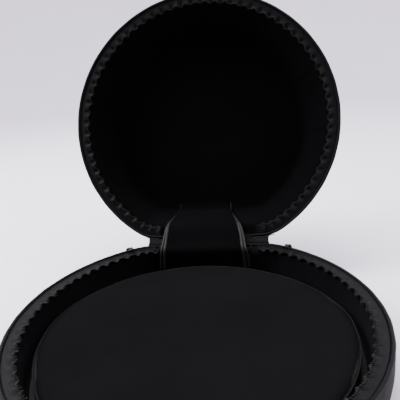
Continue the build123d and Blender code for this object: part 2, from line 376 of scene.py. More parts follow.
cloths = dict(
    outerCloth=dict(dark=(0.0010, 0.0010, 0.0012), light=(0.0030, 0.0026, 0.0036), rough=0.6, pitch=1.0 * mm,
                    depth=0.18 * mm, sheen=0.01, shine=0.06),
    piping=dict(dark=(0.0006, 0.0005, 0.0008), light=(0.0025, 0.0021, 0.0032), rough=0.5, pitch=0.8 * mm,
                depth=0.14 * mm, sheen=0.008, shine=0.07, slant=0.6),
    seam=dict(dark=(0.0012, 0.0011, 0.0014), light=(0.0042, 0.0039, 0.0047), rough=0.55, pitch=0.8 * mm,
              depth=0.12 * mm, sheen=0.02, shine=0.10, slant=0.6),
    welt=dict(dark=(0.0020, 0.0019, 0.0022), light=(0.0070, 0.0067, 0.0075), rough=0.45, pitch=0.8 * mm,
              depth=0.12 * mm, sheen=0.03, shine=0.2, slant=0.6),
    webbing=dict(dark=(0.0010, 0.0010, 0.0011), light=(0.0060, 0.0060, 0.0065), rough=0.6, pitch=1.6 * mm,
                 depth=0.35 * mm, sheen=0.03, shine=0.12),
)


def wovenFinish(name, look):
    # Woven cloth: threads painted lighter on their backs and darker between and under them (painted highlight
    # and shade), with cloudy patches and rubbed places.
    f = Finish(name, look["light"], look["rough"], Sheen_Weight=look["sheen"], Sheen_Roughness=0.45,
               Sheen_Tint=(0.75, 0.72, 0.85, 1), Specular_IOR_Level=look["shine"])
    over, threads = weave(f, look["pitch"], look.get("slant", 0.0))
    cloudy = f.noise(28.0, 4.0)
    rub = f.noise(160.0, 2.0)
    # Painted highlight on the thread crowns and painted shade in the gaps and where threads pass under, over
    # cloudy patches.
    f.shades((threads * 0.45 + over * 0.2 + cloudy * 0.5 - 0.12).clamp(0, 1), look["dark"], look["light"])
    f.put("Roughness", cloudy * 0.16 + look["rough"] - 0.08)
    f.relief(threads + over * 0.6 + rub * 0.5, look["depth"], 0.7)
    return f.material


def napFinish(name, dark, light, rough, sheen, shine, grain, depth):
    # Brushed cloth: fine fibres by fine noise over soft, cloudy patches.
    f = Finish(name, light, rough, Sheen_Weight=sheen, Sheen_Roughness=0.6,
               Sheen_Tint=(0.8, 0.76, 0.9, 1), Specular_IOR_Level=shine)
    patches = f.noise(9.0, 5.0)
    lie = f.noise(45.0, 3.0)
    fibres = f.noise(grain, 2.0, roughness=0.7)
    f.shades((patches * 0.55 + lie * 0.25 + fibres * 0.45 - 0.15).clamp(0, 1), dark, light)
    f.relief(fibres * 0.8 + lie * 0.5, depth, 0.6)
    return f.material


def tapeFinish(name):
    # Zip tape: a slanting twill crossed by ribs that run along it, a little cloudy.
    # The ridges of twill and ribs are painted lighter: a painted highlight.
    f = Finish(name, (0.008, 0.008, 0.0085), 0.5, Sheen_Weight=0.005, Sheen_Roughness=0.4,
               Sheen_Tint=(0.9, 0.89, 0.92, 1), Specular_IOR_Level=0.07)
    u, v = f.cloth()
    twill = ((u + v) * (2 * math.pi / (1.1 * mm))).sine() * 0.5 + 0.5
    ribs = (v * (2 * math.pi / (1.6 * mm))).sine() * 0.5 + 0.5
    cloudy = f.noise(60.0, 3.0)
    # Painted highlight on the twill and rib ridges, over cloudy patches.
    mixed = (twill * 0.25 + ribs * 0.2 + cloudy * 0.5).clamp(0, 1)
    f.shades(mixed, (0.0004, 0.0004, 0.0006), (0.0021, 0.0018, 0.0026))
    f.relief(twill + ribs, 0.12 * mm, 0.6)
    return f.material


def coilFinish(name):
    # Nylon coil: smooth, with a very fine grain.
    f = Finish(name, (0.006, 0.006, 0.0065), 0.34, Specular_IOR_Level=0.2)
    f.shades(f.noise(300.0, 2.0), (0.0030, 0.0030, 0.0033), (0.0080, 0.0080, 0.0085))
    f.relief(f.noise(900.0, 2.0), 0.05 * mm, 0.4)
    return f.material


def hardFinish(name, dark, light, rough, grain, depth, metallic=0.0, shine=0.15):
    # Moulded plastic, enamel or metal: fine grain, with patches rubbed smoother.
    f = Finish(name, light, rough, Metallic=metallic, Specular_IOR_Level=shine)
    rubbed = f.noise(70.0, 4.0)
    fine = f.noise(grain, 3.0)
    f.shades((rubbed * 0.6 + fine * 0.4).clamp(0, 1), dark, light)
    f.put("Roughness", rubbed * 0.25 + rough - 0.12)
    f.relief(fine, depth, 0.5)
    return f.material


def foamFinish(name):
    # Cut foam: small open cells.
    f = Finish(name, (0.006, 0.006, 0.0062), 0.85, Specular_IOR_Level=0.1)
    cells = f.node("ShaderNodeTexVoronoi", values={"Vector": f.place(), "Scale": 900.0})
    f.shades(cells, (0.003, 0.003, 0.0032), (0.009, 0.009, 0.0093))
    f.relief(cells, 0.4 * mm, 0.8)
    return f.material


looks = {name: wovenFinish(name, look) for name, look in cloths.items()}
# One lining cloth in two copies: the darker copy (lining), painted shade, for the lid's bowl and the hinge
# panel; the lighter copy, painted light, for the base's wall.
naps = dict(
    lining=dict(dark=(0.0007, 0.0007, 0.0008), light=(0.0030, 0.0028, 0.0032), rough=0.95, sheen=0.004,
                shine=0.005, grain=2200.0, depth=0.10 * mm),
    wallLining=dict(dark=(0.0018, 0.0017, 0.0020), light=(0.0062, 0.0058, 0.0068), rough=0.95, sheen=0.004,
                    shine=0.006, grain=2200.0, depth=0.10 * mm),
    padCloth=dict(dark=(0.0016, 0.0015, 0.0018), light=(0.0054, 0.0050, 0.0059), rough=0.92, sheen=0.003,
                  shine=0.004, grain=1500.0, depth=0.16 * mm),
)
looks.update({name: napFinish(name, **look) for name, look in naps.items()})
looks["zipTape"] = tapeFinish("zipTape")
looks["zipCoil"] = coilFinish("zipCoil")
looks["foam"] = foamFinish("foam")
hards = dict(
    board=dict(dark=(0.004, 0.004, 0.004), light=(0.009, 0.009, 0.009), rough=0.6, grain=500.0,
               depth=0.05 * mm),
    zipMetal=dict(dark=(0.003, 0.003, 0.0033), light=(0.012, 0.012, 0.013), rough=0.36, grain=800.0,
                  depth=0.02 * mm, metallic=0.3, shine=0.3),
    handlePlastic=dict(dark=(0.003, 0.003, 0.003), light=(0.008, 0.008, 0.0085), rough=0.5, grain=1400.0,
                       depth=0.08 * mm),
    pinSteel=dict(dark=(0.18, 0.18, 0.19), light=(0.32, 0.32, 0.33), rough=0.3, grain=1200.0, depth=0.02 * mm,
                  metallic=1.0),
    grip=dict(dark=(0.002, 0.002, 0.0022), light=(0.007, 0.007, 0.0075), rough=0.68, grain=1100.0,
              depth=0.12 * mm),
    thread=dict(dark=(0.004, 0.004, 0.0045), light=(0.014, 0.014, 0.015), rough=0.55, grain=2500.0,
                depth=0.05 * mm),
)
looks.update({name: hardFinish(name, **look) for name, look in hards.items()})


def dress(piece, look, body=None, replaces=()):
    # Gives a piece its finish and the body it rides on, and hides the nodes that it stands for.
    piece.data.materials.clear()
    piece.data.materials.append(looks[look])
    if body:
        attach(piece, body)
    if replaces:
        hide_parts(*replaces)
    return piece


print("materials ready:", len(looks))


baseCover = dict(high=-5.0 * mm, low=-(case["baseHeight"] - 4.6 * mm), draft=case["baseDraft"],
                 height=case["baseHeight"], skin=0.6 * mm, cloth=1.2 * mm, swell=4.0 * mm, wrinkle=0.35 * mm,
                 around=900, across=26, seed=21)
lidCover = dict(high=72.6 * mm, low=5.0 * mm, draft=case["lidDraft"], height=case["lidHeight"],
                skin=0.6 * mm, cloth=1.2 * mm, swell=2.0 * mm, wrinkle=0.5 * mm, around=900, across=34,
                seed=31)


def wallCover(name, spec, lid):
    # Drafted wall of cloth over foam: swells by a half sine between its two seams, with shallow wrinkles.
    s = np.linspace(0, wholeRound, spec["around"], endpoint=False)
    t = np.linspace(0, 1, spec["across"])
    z = spec["low"] + (spec["high"] - spec["low"]) * t
    lean = spec["draft"] * np.abs(z) / spec["height"] + spec["skin"]
    puff = np.sin(math.pi * t) ** 0.7 * spec["swell"]
    ripple = roundWaves(s, 38, spec["seed"])[:, None] * np.sin(math.pi * t)[None] * spec["wrinkle"]
    nearSeams = np.cos(math.pi * t)[None] ** 4
    ripple = ripple + roundWaves(s, 90, spec["seed"] + 1)[:, None] * nearSeams * spec["wrinkle"] * 0.6
    outer = lean - puff + ripple
    inner = np.broadcast_to(lean + spec["cloth"], outer.shape)
    inset = np.concatenate([outer, inner[:, ::-1]], 1)
    grid = roundGrid(s, inset, rimZ + np.concatenate([z, z[::-1]]))
    grid = swingOpen(grid) if lid else grid
    return gridPiece(name, grid, True, True)


for half, spec in (("base", baseCover), ("lid", lidCover)):
    dress(wallCover(half + "WallCover", spec, half == "lid"), "outerCloth", half,
          (half + "_wall_cover",))


endCovers = dict(
    baseBottomCover=dict(half="base", inset=case["baseDraft"] + 2.4 * mm,
                         level=-case["baseHeight"] + 0.6 * mm, crown=-0.6 * mm, node="base_bottom_cover"),
    lidTopCover=dict(half="lid", inset=case["lidDraft"] + 2.0 * mm, level=case["lidHeight"] - 1.2 * mm,
                     crown=2.6 * mm, node="lid_top_cover"),
)
endCloth = dict(around=360, rings=40, thick=1.0 * mm)


def endCover(name, spec):
    # Bottom or top panel: a crowned disc of cloth inside the case's outline, which is drawn in by inset.
    s = np.linspace(0, wholeRound, endCloth["around"], endpoint=False)
    edge = roundGrid(s, spec["inset"], rimZ + spec["level"])[:, 0]
    middle = np.array([0, case["middleY"], rimZ + spec["level"]])
    lid = spec["half"] == "lid"
    piece = discPiece(name, edge, middle, spec["crown"], endCloth["rings"], flip=lid)
    if lid:
        swingPiece(piece)
    return thicken(piece, endCloth["thick"], -1.0)


for name, spec in endCovers.items():
    dress(endCover(name, spec), "outerCloth", spec["half"], (spec["node"],))


piping = dict(radius=2.2 * mm, around=720, sides=12, wander=0.25 * mm, drift=0.2 * mm, uneven=0.04)
pipings = dict(
    baseRimPiping=dict(half="base", inset=2.0 * mm, level=-3.2 * mm, seed=3, node="base_rim_piping"),
    baseBottomPiping=dict(half="base", inset=6.8 * mm, level=-case["baseHeight"] + 2.7 * mm, seed=4,
                          node="base_bottom_piping"),
    lidRimPiping=dict(half="lid", inset=2.0 * mm, level=3.2 * mm, seed=5, node="lid_rim_piping"),
    lidTopPiping=dict(half="lid", inset=25.6 * mm, level=case["lidHeight"] - 3.1 * mm, seed=6,
                      node="lid_top_piping"),
)


def pipingRound(name, spec):
    # A tube round the case's outline that wanders a little in and out, up and down.
    s = np.linspace(0, wholeRound, piping["around"], endpoint=False)
    wander = roundWaves(s, 30, spec["seed"]) * piping["wander"]
    drift = roundWaves(s, 22, spec["seed"] + 3)[:, None] * piping["drift"]
    path = roundGrid(s, spec["inset"] + wander[:, None], rimZ + spec["level"] + drift)[:, 0]
    wobble = roundWaves(s, 150, spec["seed"] + 5) * piping["uneven"]
    piece = tubePiece(name, path, piping["radius"], piping["sides"], True, wobble=wobble)
    return swingPiece(piece) if spec["half"] == "lid" else piece


for name, spec in pipings.items():
    dress(pipingRound(name, spec), "piping", spec["half"], (spec["node"],))
print("covers and pipings ready")


# Each lining from the rim inwards, in mm: how far inside the outline, and how far above the rim plane.
baseLiningPath = [(4.2, -4.7), (6.5, -5.8), (11.5, -7.2), (14.2, -8.6), (15.2, -11.2), (15.9, -17.0),
                  (16.8, -26.0), (18.0, -36.0), (19.0, -44.0), (19.9, -46.6), (22.2, -47.0)]
lidLiningPath = [(4.2, 4.7), (6.5, 5.8), (11.5, 7.0), (16.5, 8.2), (19.4, 10.2), (21.6, 13.0), (26.1, 22.0),
                 (31.1, 33.0), (36.0, 44.0), (40.4, 53.2), (44.6, 57.8), (51.0, 59.4)]


def smoothLine(points, samples):
    # A smooth line through given points: a cubic between each two, with the slope at a point taken from
    # its neighbours by chord length.
    p = np.array(points, float)
    k = np.concatenate([[0], np.linalg.norm(np.diff(p, axis=0), axis=1).cumsum()])
    m = np.gradient(p, k, axis=0)
    q = np.linspace(0, k[-1], samples)
    i = np.clip(np.searchsorted(k, q, side="right") - 1, 0, len(k) - 2)
    h = (k[i + 1] - k[i])[:, None]
    t = ((q - k[i]) / (k[i + 1] - k[i]))[:, None]
    return ((2 * t ** 3 - 3 * t ** 2 + 1) * p[i] + (t ** 3 - 2 * t ** 2 + t) * h * m[i]
            + (-2 * t ** 3 + 3 * t ** 2) * p[i + 1] + (t ** 3 - t ** 2) * h * m[i + 1])


def liningWall(s, path, samples, slack, seed):
    # Inset and level of a lining's wall: its path, and folds that are deepest half way down it.
    line = smoothLine(path, samples) * mm
    t = np.linspace(0, 1, samples)
    folds = roundWaves(s, 46, seed)[:, None] * np.sin(math.pi * t)[None] ** 2 * slack
    folds = folds + roundWaves(s, 9, seed + 1)[:, None] * np.sin(math.pi * t)[None] * slack
    return line[None, :, 0] + folds, np.broadcast_to(line[None, :, 1], folds.shape)


def baseLining():
    # The lining's path carried round the outline.
    s = np.linspace(0, wholeRound, 600, endpoint=False)
    inset, level = liningWall(s, baseLiningPath, 40, 0.5 * mm, 51)
    return thicken(gridPiece("baseLining", roundGrid(s, inset, rimZ + level), True, False), 0.7 * mm, -1.0)


def lidLining():
    # Bowl: the wall's folds run on into a slack bottom disc that closes at its middle.
    s = np.linspace(0, wholeRound, 480, endpoint=False)
    inset, level = liningWall(s, lidLiningPath, 60, 0.7 * mm, 61)
    wall = roundGrid(s, inset, rimZ + level)
    f = np.linspace(1, 0, 34)[1:-1]
    middle = np.array([0, case["middleY"], rimZ + case["lidDepth"] - 0.6 * mm])
    floor = middle + (wall[:, -1][:, None] - middle) * f[None, :, None]
    slack = np.sin(math.pi * f)[None] * (roundWaves(s, 4, 63)[:, None] * 0.9 * mm)
    floor[..., 2] += slack - (1 - f[None]) * 0.4 * mm
    grid = np.concatenate([wall, floor], 1)
    n, m = grid.shape[:2]
    verts = np.concatenate([grid.reshape(-1, 3), middle[None]])
    verts[-1, 2] -= 0.4 * mm
    j = np.arange(n)
    fan = np.stack([j * m + m - 1, np.full(n, n * m), ((j + 1) % n) * m + m - 1], -1).tolist()
    piece = makeMesh("lidLining", swingOpen(verts), gridFaces(n, m, True, False) + fan, verts[:, :2])
    return thicken(piece, 0.7 * mm, -1.0)


# The base's lining takes the lighter, painted-light copy of the lining cloth; the lid's lining takes the
# darker, painted-shade copy.
dress(baseLining(), "wallLining", "base", ("base_wall_lining",))
dress(lidLining(), "lining", "lid", ("lid_wall_lining", "lid_top_lining"))


zipHalf = dict(sewn=4.4 * mm, free=16.0 * mm, thick=0.7 * mm, level=3.6 * mm, droop=1.6 * mm, ruffle=2.3 * mm,
               scallop=1.8 * mm, pitch=17 * mm, across=14, step=1.2 * mm, end=72 * mm,
               coilPitch=2.4 * mm, coilRadius=1.15 * mm, wireRadius=0.42 * mm)


def zipSpan():
    # Arc lengths from the zip's one end round the front to its other end, one every step.
    s = np.linspace(0, halfRound, 4000)
    first = s[np.argmax(along(s)[0][:, 0] > zipHalf["end"])]
    return np.linspace(first, wholeRound - first, int((wholeRound - 2 * first) / zipHalf["step"]))


def ruffle(s, t, seed):
    # Ruffled tape: waves about one pitch long that grow from nothing at the sewn edge to full at the free
    # edge. Returns how far the cloth rises and how far its edge moves in.
    phase = 2 * math.pi * s / zipHalf["pitch"] + 1.1 * waves(s, 160 * mm, seed)
    size = 0.82 + 0.3 * waves(s, 70 * mm, seed + 1)
    grow = np.clip((t - 0.35) / 0.65, 0, 1) ** 1.1
    rise = (0.75 * np.sin(phase) + 0.25 * np.sin(2 * phase + 0.9))[:, None] * size[:, None] * grow[None]
    reach = np.cos(phase + 0.7)[:, None] * size[:, None] * grow[None]
    return rise, reach


def zipTape(name, lid, seed):
    # A flat band from the sewn edge to the free edge that droops a little, with the ruffle added to it.
    s, t = zipSpan(), np.linspace(0, 1, zipHalf["across"])
    rise, reach = ruffle(s, t, seed)
    inset = zipHalf["sewn"] + (zipHalf["free"] - zipHalf["sewn"]) * t[None] + reach * zipHalf["scallop"]
    depth = zipHalf["level"] + zipHalf["droop"] * t[None] ** 2 - rise * zipHalf["ruffle"]
    half = zipHalf["thick"] / 2
    inset2 = np.concatenate([inset, inset[:, ::-1]], 1)
    depth2 = np.concatenate([depth - half, (depth + half)[:, ::-1]], 1)
    side = 1.0 if lid else -1.0
    grid = roundGrid(s, inset2, rimZ + side * depth2)
    grid = swingOpen(grid) if lid else grid
    return gridPiece(name, grid, False, True, True, flip=lid)


def zipCoil(name, lid, seed):
    # Nylon coil: a helix wound round the tape's free edge, flattened a little.
    s = zipSpan()
    rise, reach = ruffle(s, np.array([1.0]), seed)
    turns = int((s[-1] - s[0]) / zipHalf["coilPitch"])
    fine = np.linspace(s[0] + 2 * mm, s[-1] - 2 * mm, turns * 9)
    inset = np.interp(fine, s, zipHalf["free"] + reach[:, 0] * zipHalf["scallop"]) + 0.3 * mm
    depth = np.interp(fine, s, zipHalf["level"] + zipHalf["droop"] - rise[:, 0] * zipHalf["ruffle"])
    a = 2 * math.pi * np.arange(len(fine)) / 9
    inset = inset + np.cos(a) * zipHalf["coilRadius"] * 1.25
    depth = depth + np.sin(a) * zipHalf["coilRadius"]
    side = 1.0 if lid else -1.0
    path = roundGrid(fine, inset[:, None], rimZ + side * depth[:, None])[:, 0]
    path = swingOpen(path) if lid else path
    return tubePiece(name, path, zipHalf["wireRadius"], 5, False, up=(0.0, 0.31, 0.95))


for half, lid, seed in (("base", False, 71), ("lid", True, 81)):
    dress(zipTape(half + "ZipTape", lid, seed), "zipTape", half, (half + "_zip_tape",))
    dress(zipCoil(half + "ZipCoil", lid, seed), "zipCoil", half, (half + "_zip_coil",))
print("linings and zip ready")


def tapeStitching(name, inset, depth, lid, pitch=3.2 * mm):
    # A line of stitches that holds the tape's sewn edge.
    s = zipSpan()
    s = np.arange(s[0] + 3 * mm, s[-1] - 3 * mm, pitch)
    side = 1.0 if lid else -1.0
    start = roundGrid(s, inset, rimZ + side * depth)[:, 0]
    nearby = roundGrid(s + 0.5 * mm, inset, rimZ + side * depth)[:, 0]
    if lid:
        start, nearby = swingOpen(start), swingOpen(nearby)
    ahead = nearby - start
    ahead /= np.linalg.norm(ahead, axis=1, keepdims=True)
    up = np.array([0, -math.sin(openAngle), math.cos(openAngle)]) if lid else np.array([0, 0, 1.0])
    lift = np.broadcast_to(up, ahead.shape)
    return stitches(name, start, ahead, lift, 2.3 * mm, 0.5 * mm)


for half, lid in (("base", False), ("lid", True)):
    dress(tapeStitching(half + "TapeStitching", 6.2 * mm, 3.05 * mm, lid), "thread", half)


pad = dict(inset=0.3 * mm, round=7.0 * mm, under=0.4 * mm, below=0.3 * mm, draw=1.0 * mm, middleY=-6 * mm,
           voxel=3.2 * mm, pressure=4.0, frames=20, cap=1.4 * mm, arc=6, rings=24, around=240)
padLow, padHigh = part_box("floor_pad_cover")


def padShell():
    # A thick disc: a straight side and a quarter-round top edge carried round the pad's plan, then closed
    # over the top and under the bottom towards the middle.
    s = np.linspace(0, padPlan["whole"], pad["around"], endpoint=False)
    low, high = padLow[2] + pad["under"], padHigh[2] - pad["below"]
    a = np.linspace(math.pi / 2, 0, pad["arc"])
    r = pad["round"]
    inset = np.concatenate([pad["inset"] + r - r * np.cos(a), [pad["inset"], pad["inset"] + pad["draw"]]])
    level = np.concatenate([high - r + r * np.sin(a), [low + pad["draw"], low]])
    wall = roundGrid(s, inset[None], level[None], padPlan)
    f = np.linspace(0, 1, pad["rings"])[1:-1]
    topMid, lowMid = np.array([0, pad["middleY"], high]), np.array([0, pad["middleY"], low])
    top = topMid + (wall[:, 0][:, None] - topMid) * f[None, :, None]
    bottom = lowMid + (wall[:, -1][:, None] - lowMid) * f[None, ::-1, None]
    grid = np.concatenate([top, wall, bottom], 1)
    n, m = grid.shape[:2]
    verts = np.concatenate([grid.reshape(-1, 3), topMid[None], lowMid[None]])
    j = np.arange(n)
    nxt = (j + 1) % n
    fans = np.stack([j * m, np.full(n, n * m), nxt * m], -1).tolist()
    fans += np.stack([nxt * m + m - 1, np.full(n, n * m + 1), j * m + m - 1], -1).tolist()
    return makeMesh("floorPad", verts, gridFaces(n, m, True, False, flip=True) + fans)


def inflate(piece, spec):
    # Cloth simulation: remesh, blow up a little with pressure, cap the movement and keep the result.
    bpy.context.view_layer.objects.active = piece
    remesh = piece.modifiers.new("even", "REMESH")
    remesh.mode, remesh.voxel_size = "VOXEL", spec["voxel"]
    graph = bpy.context.evaluated_depsgraph_get()
    piece.data = bpy.data.meshes.new_from_object(piece.evaluated_get(graph))
    piece.modifiers.clear()
    count = len(piece.data.vertices)
    start = np.empty(count * 3)
    piece.data.vertices.foreach_get("co", start)
    cloth = piece.modifiers.new("cloth", "CLOTH")
    cloth.settings.use_pressure = True
    cloth.settings.uniform_pressure_force = spec["pressure"]
    cloth.settings.effector_weights.gravity = 0
    scene = bpy.context.scene
    for number in range(1, spec["frames"] + 1):
        scene.frame_set(number)
    graph = bpy.context.evaluated_depsgraph_get()
    result = piece.evaluated_get(graph).to_mesh()
    end = np.empty(count * 3)
    result.vertices.foreach_get("co", end)
    piece.evaluated_get(graph).to_mesh_clear()
    piece.modifiers.clear()
    start, end = start.reshape(-1, 3), end.reshape(-1, 3)
    move = end - start
    length = np.linalg.norm(move, axis=1, keepdims=True)
    move *= np.minimum(1, spec["cap"] / np.maximum(length, 1e-9))
    piece.data.vertices.foreach_set("co", (start + move).ravel())
    scene.frame_set(1)
    return piece


floorPad = padShell()
inflate(floorPad, pad)
floorPad.data.shade_smooth()
dress(floorPad, "padCloth", "pad", ("floor_pad_cover",))


def padSeam(name, inset, level, radius, seed):
    # A fine tube round the pad's outline, beside its top edge, that wanders a little.
    s = np.linspace(0, padPlan["whole"], 500, endpoint=False)
    path = roundGrid(s, inset + roundWaves(s, 24, seed)[:, None] * 0.4 * mm,
                     level + roundWaves(s, 18, seed + 1)[:, None] * 0.3 * mm, padPlan)[:, 0]
    return tubePiece(name, path, radius, 8, True, wobble=roundWaves(s, 120, seed + 2) * 0.06)


topSeam = padSeam("padSeam", pad["inset"] + 1.7 * mm, padHigh[2] - 2.6 * mm, 0.6 * mm, 91)
dress(topSeam, "seam", "pad")
print("floor pad ready")


def lidPoint(inset, w):
    # A point (y, z) of the open lid at the back, from its inset and height above the rim plane when closed.
    p = swingOpen(np.array([0.0, case["backY"] - inset, rimZ + w]))
    return p[1], p[2]


def basePoint(inset, w):
    # The same for the base.
    return case["backY"] - inset, rimZ + w


# The panel from the base up into the lid: its points at the middle, and its two edges in mm at each point.
innerPanel = dict(line=[basePoint(22.7 * mm, -30.5 * mm), basePoint(21.4 * mm, -16 * mm),
                        basePoint(19.3 * mm, -3.0 * mm), basePoint(9 * mm, 5.2 * mm),
                        lidPoint(21.8 * mm, 3 * mm), lidPoint(31 * mm, 20 * mm), lidPoint(40.5 * mm, 40 * mm),
                        lidPoint(46.5 * mm, 54.5 * mm), lidPoint(54 * mm, 58.5 * mm),
                        lidPoint(66 * mm, 60.4 * mm)],
                  left=[-63, -63, -62, -61, -59.5, -57, -54, -51, -49, -47],
                  right=[55, 53, 50, 49, 46, 42, 37, 34, 33, 32], samples=90, across=48, cloth=0.9 * mm)


def panelEdges(spec):
    # The panel's middle line, and its left and right edges at each sample of it.
    line = smoothLine([(y, z) for y, z in spec["line"]], spec["samples"])
    k = np.linspace(0, 1, len(spec["left"]))
    q = np.linspace(0, 1, spec["samples"])
    return line, np.interp(q, k, spec["left"]) * mm, np.interp(q, k, spec["right"]) * mm


def panelPiece():
    # The taut panel over the hinge: straight across, with a slight belly and shallow pulls from its welts.
    line, left, right = panelEdges(innerPanel)
    f = np.linspace(0, 1, innerPanel["across"])
    x = left[:, None] + (right - left)[:, None] * f[None]
    q = np.linspace(0, 1, innerPanel["samples"])[:, None]
    belly = np.sin(math.pi * f)[None] * np.sin(math.pi * q) * 1.2 * mm
    pull = waves(q * 130 * mm + f[None] * 30 * mm, 34 * mm, 17) * (0.25 + np.abs(f[None] - 0.5)) * 0.7 * mm
    slope = np.gradient(line, axis=0)
    slope /= np.linalg.norm(slope, axis=1, keepdims=True)
    normal = np.stack([-slope[:, 1], slope[:, 0]], -1)
    y = line[:, 0][:, None] + normal[:, 0][:, None] * (belly + pull)
    z = line[:, 1][:, None] + normal[:, 1][:, None] * (belly + pull)
    grid = np.stack([x, y, z], -1)
    return thicken(gridPiece("hingeInnerPanel", grid), innerPanel["cloth"], 0.0)


def weltPiece(name, which, radii, apart):
    # A corded seam: two ridges side by side that come together in the lid.
    line, left, right = panelEdges(innerPanel)
    x = left if which < 0 else right
    q = np.linspace(0, 1, len(x))
    tubes = []
    for number, (radius, gap) in enumerate(zip(radii, apart)):
        shift = which * gap * np.clip(1.15 - 1.3 * q, 0.12, 1) ** 1.2
        wander = waves(q, 0.35, 40 + number) * 0.5 * mm
        path = np.stack([x + shift + wander, line[:, 0], line[:, 1] + radius * 0.4], -1)
        thin = np.clip((0.74 - q) * 3.2, 0.12, 1) - 1
        tubes.append(tubePiece(f"{name}{number}", path, radius, 10, False, up=(0, -0.7, 0.7), wobble=thin))
    return joinPieces(name, tubes)


# The hinge panel takes the darker, painted-shade copy of the lining cloth.
hingePanel = dress(panelPiece(), "lining", None, ("hinge_inner_panel",))
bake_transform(hingePanel)
for name, which in (("Left", -1), ("Right", 1)):
    welt = weltPiece("hingeWelt" + name, which, (2.1 * mm, 1.6 * mm), (0.0, 5.2 * mm))
    dress(welt, "welt", None, ("hinge_welt_" + name.lower(),))
    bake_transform(welt)

outerPanel = dict(half=99 * mm, waist=10 * mm, off=(0.9, 1.0, 1.6, 2.3), level=(24.0, 14.0, 6.0, 2.6),
                  samples=60, across=56)


def outerPanelPiece():
    # Cloth behind the hinge: it lies on the base's bowed wall, goes over the piping, spans the V between the
    # two rims and lies on the lid's wall. The lid's half is the base's half mirrored in the rim plane, swung.
    x = np.linspace(-outerPanel["half"], outerPanel["half"], outerPanel["across"])
    back = casePlan["bowY"] + np.sqrt(case["backRadius"] ** 2 - x ** 2)
    off, level = np.array(outerPanel["off"]) * mm, np.array(outerPanel["level"]) * mm
    y = back[:, None] + off[None]
    across = np.broadcast_to(x[:, None], y.shape)
    low = np.stack([across, y, np.broadcast_to(rimZ - level, y.shape)], -1)
    high = swingOpen(np.stack([across, y, np.broadcast_to(rimZ + level, y.shape)], -1))
    columns = np.concatenate([low, high[:, ::-1]], 1)
    grid = np.stack([smoothLine(column, outerPanel["samples"]) for column in columns], 1)
    q = np.linspace(0, 1, outerPanel["samples"])[:, None]
    grid[..., 0] *= 1 - outerPanel["waist"] / outerPanel["half"] * np.sin(math.pi * q) ** 1.6
    return thicken(gridPiece("hingeOuterPanel", grid), 0.9 * mm, 0.0)


outerStrap = dress(outerPanelPiece(), "outerCloth", None, ("hinge_outer_panel",))
outerEdge = np.array([0, case["backY"] + 2.3 * mm, rimZ - 2.6 * mm])
tuple(swingOpen(outerEdge + [0, 0, 5.2 * mm]))
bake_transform(outerStrap)


endLoops = dict(x=dict(Left=-74 * mm, Right=59 * mm), inset=13.5 * mm, drop=2.0 * mm, radius=4.2 * mm,
                cord=1.1 * mm)


def endLoop(name, x):
    # A small loop of folded cord sewn over the zip's end: a tilted oval.
    a = np.linspace(0, 2 * math.pi, 40, endpoint=False)
    radius = endLoops["radius"]
    path = np.stack([x + radius * np.cos(a) * 1.1,
                     case["backY"] - endLoops["inset"] + radius * np.sin(a) * 0.7,
                     rimZ - endLoops["drop"] + radius * 0.55 * np.sin(a)], -1)
    return tubePiece(name, path, endLoops["cord"], 8, True, up=(0, -0.5, 0.85))


for name, x in endLoops["x"].items():
    dress(endLoop("zipEndLoop" + name, x), "zipTape", "base", ("zip_end_tab_" + name.lower(),))
print("hinge ready")


handleLow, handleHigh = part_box("handle_webbing")
gripLow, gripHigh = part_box("handle_grip")
handle = dict(z=(handleLow[2] + handleHigh[2]) / 2, axisY=jointNamed("handle_swing")["pos_m"][1],
              gripY=(gripLow[1] + gripHigh[1]) / 2, half=56.5 * mm, width=22 * mm, thick=2.2 * mm,
              gripHalf=28 * mm, eye=4 * mm)


def rounded(points, rounds=4):
    # Cuts the corners of a line again and again until it is a smooth curve.
    p = np.array(points, float)
    for _ in range(rounds):
        a, b = p[:-1] * 0.75 + p[1:] * 0.25, p[:-1] * 0.25 + p[1:] * 0.75
        p = np.concatenate([p[:1], np.stack([a, b], 1).reshape(-1, p.shape[1]), p[-1:]])
    return p


def squared(c):
    # A cosine or sine pressed towards 1 or -1, which turns a circle into a rounded rectangle.
    return np.sign(c) * np.abs(c) ** 0.35


def strapPiece():
    # Flat webbing carried along a bow in plan, its section a rounded rectangle.
    h = handle
    half = [(h["half"], h["axisY"]), (h["half"] - 9 * mm, h["gripY"] + 9 * mm), (32 * mm, h["gripY"])]
    plan = rounded([(-x, y) for x, y in half] + half[::-1], 5)
    t = np.gradient(plan, axis=0)
    t /= np.linalg.norm(t, axis=1, keepdims=True)
    n = np.stack([-t[:, 1], t[:, 0]], -1)
    a = np.linspace(0, 2 * math.pi, 28, endpoint=False)
    across, up = squared(np.cos(a)) * h["thick"] / 2, squared(np.sin(a)) * h["width"] / 2
    xy = plan[:, None] + n[:, None] * across[None, :, None]
    grid = np.concatenate([xy, np.broadcast_to(h["z"] + up, xy.shape[:2])[..., None]], -1)
    return gridPiece("handleStrap", grid, False, True, True)


def lathe(name, axisPoint, x, r, sides=40):
    # Turns the radius r at each distance x about the X direction through axisPoint.
    a = np.linspace(0, 2 * math.pi, sides, endpoint=False)
    grid = np.stack([np.broadcast_to(axisPoint[0] + x[:, None], (len(x), sides)),
                     axisPoint[1] + r[:, None] * np.cos(a)[None],
                     axisPoint[2] + r[:, None] * np.sin(a)[None]], -1)
    return gridPiece(name, grid, False, True, True)


